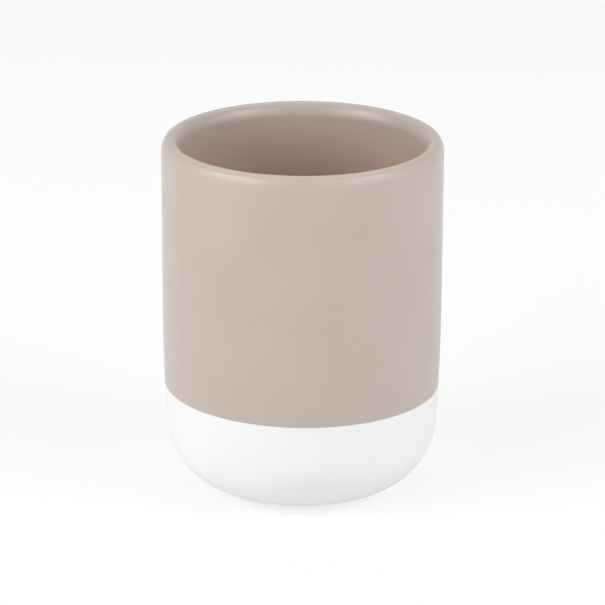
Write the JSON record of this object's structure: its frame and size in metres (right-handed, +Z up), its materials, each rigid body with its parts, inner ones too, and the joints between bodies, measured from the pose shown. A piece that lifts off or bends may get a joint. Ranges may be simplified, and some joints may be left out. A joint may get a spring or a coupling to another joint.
{
  "type": "bathroom tumbler",
  "caption": "Straight-sided ceramic bathroom tumbler with a rounded foot, a soft thick lip, a taupe upper glaze over a white base, and soft pads underneath.",
  "frame": {"origin": "on the axis of the cup, at the level of the pads' undersides, which is the surface that the tumbler stands on", "axes": "+Z up along the axis of the cup; the cup is round, so +X and +Y lie anywhere square to it, and the four pads stand on the diagonals between them"},
  "size_m": [0.08, 0.08, 0.1031],
  "materials": {
    "stoneware": "bare fired clay, dry and slightly rough",
    "taupe_glaze": "satin matt glaze, warm grey-brown",
    "white_glaze": "satin white glaze",
    "pad_rubber": "soft, slightly milky, matt"
  },
  "bodies": {
    "root": {"clay_body": "stoneware", "outer_glaze": "taupe_glaze", "liner_glaze": "taupe_glaze", "base_glaze": "white_glaze", "recess_glaze": "white_glaze", "anti_slip_pad_1": "pad_rubber", "anti_slip_pad_2": "pad_rubber", "anti_slip_pad_3": "pad_rubber", "anti_slip_pad_4": "pad_rubber"}
  },
  "joints": []
}
